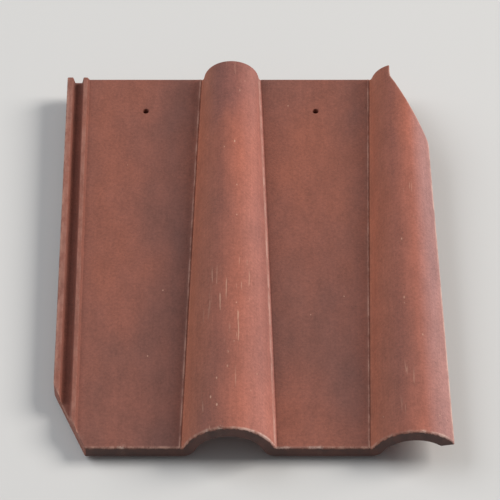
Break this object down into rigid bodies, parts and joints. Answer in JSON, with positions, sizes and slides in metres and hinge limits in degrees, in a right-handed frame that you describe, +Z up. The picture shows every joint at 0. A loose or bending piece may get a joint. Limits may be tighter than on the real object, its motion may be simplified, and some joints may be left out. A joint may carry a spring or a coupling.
{
  "type": "clay roof tile",
  "caption": "Interlocking clay roof tile with barrel rolls beside flat pans, a cover lip down one side, water-lock ribs down the other, and batten nibs and nail holes at the head.",
  "frame": {"origin": "centre of the bounding box at the level floor that the tile lies on", "axes": "+Z up, +Y from the tile's foot to its head, +X from the water-lock side to the cover-lip side"},
  "size_m": [0.342, 0.4208, 0.051],
  "materials": {
    "fired_clay": "matte fired clay, brownish red with darker and orange-brown flashing"
  },
  "bodies": {
    "root": {"roof_tile": "fired_clay"}
  },
  "joints": []
}
